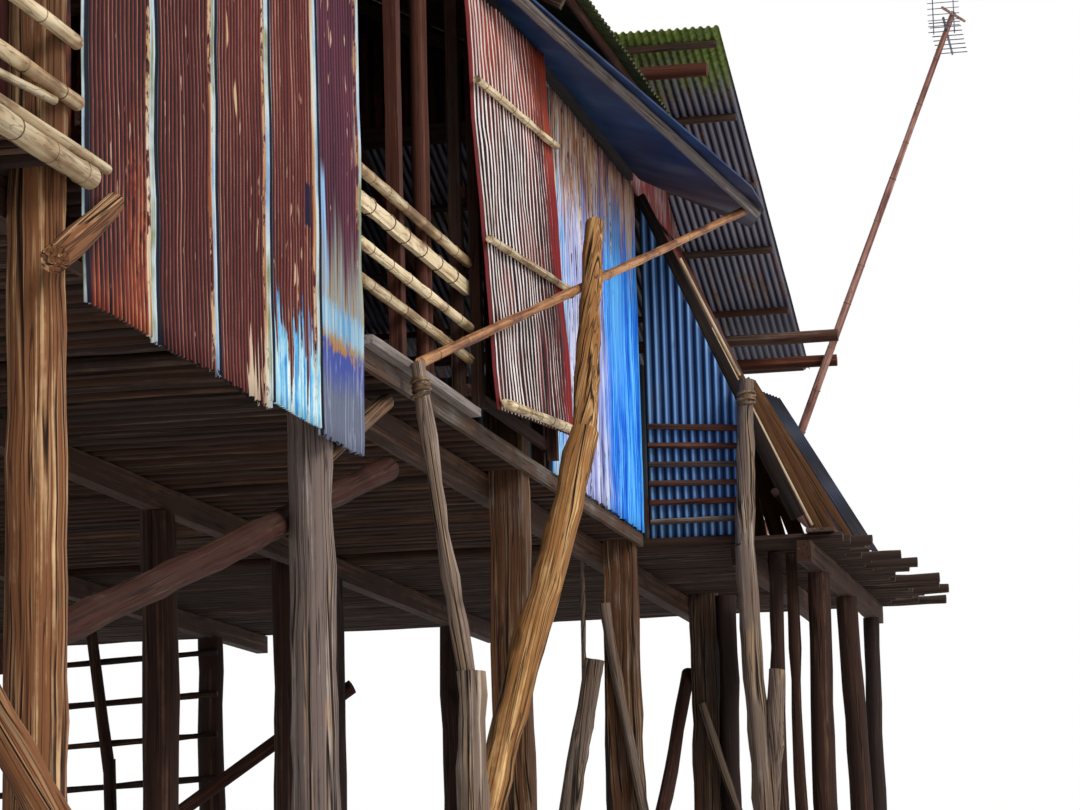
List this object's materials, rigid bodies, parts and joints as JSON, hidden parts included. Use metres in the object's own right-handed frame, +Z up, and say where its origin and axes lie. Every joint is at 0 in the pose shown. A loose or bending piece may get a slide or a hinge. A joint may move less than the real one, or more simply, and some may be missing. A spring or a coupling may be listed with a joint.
{
  "type": "stilt house",
  "caption": "Timber house on tall posts with pole floor, corrugated iron walls and roofs, open doorway with rails, and an open deck at one end.",
  "frame": {"origin": "foot of the first front post, at the centre of its flat end", "axes": "+X along the front towards the end room, +Y into the house, +Z up"},
  "size_m": [18.66, 9.4607, 8.1906],
  "materials": {
    "old_wood": "weathered split timber, grey on the sunny side",
    "dark_wood": "smoke-dark unpainted timber",
    "oxide_sheet": "red oxide paint worn through to zinc and rust",
    "brown_sheet": "thin red paint, much worn, over pale zinc",
    "blue_sheet": "blue paint, chalked and worn",
    "zinc_sheet": "dull zinc, unpainted",
    "poles": "peeled round poles, sun-bleached",
    "roof_sheet": "old zinc with rust and moss",
    "awning_sheet": "flat iron sheet in worn navy paint"
  },
  "bodies": {
    "root": {"front_posts": "old_wood", "middle_posts": "dark_wood", "rear_posts": "dark_wood", "deck_posts": "old_wood", "under_posts": "dark_wood", "front_beam": "dark_wood", "middle_beams": "dark_wood", "rear_beam": "dark_wood", "deck_beams": "old_wood", "floor_joists": "dark_wood", "floor_boards": "dark_wood", "deck_poles": "dark_wood", "deck_boards": "old_wood", "rim_boards": "old_wood", "left_front_sheets": "oxide_sheet", "brown_front_sheets": "brown_sheet", "blue_front_sheets": "blue_sheet", "grey_return_wall": "zinc_sheet", "rear_wall": "zinc_sheet", "left_end_wall": "oxide_sheet", "right_end_wall": "zinc_sheet", "end_front_sheets": "brown_sheet", "wall_frame": "dark_wood", "door_frame": "dark_wood", "door_rails": "poles", "sheet_battens": "poles", "porch_rails": "poles", "porch_log": "old_wood", "rear_rails": "dark_wood", "deck_rails": "poles", "main_roof_front": "roof_sheet", "main_roof_rear": "roof_sheet", "end_roof": "roof_sheet", "roof_frame": "dark_wood", "roof_purlins": "poles", "end_roof_frame": "dark_wood", "gable_walls": "oxide_sheet", "awning": "awning_sheet", "awning_beam": "poles", "awning_prop": "poles", "slanted_screen": "brown_sheet", "screen_frame": "dark_wood", "floor_brace": "dark_wood", "leaning_poles": "poles", "stakes": "poles", "aerial_mast": "poles"}
  },
  "joints": []
}
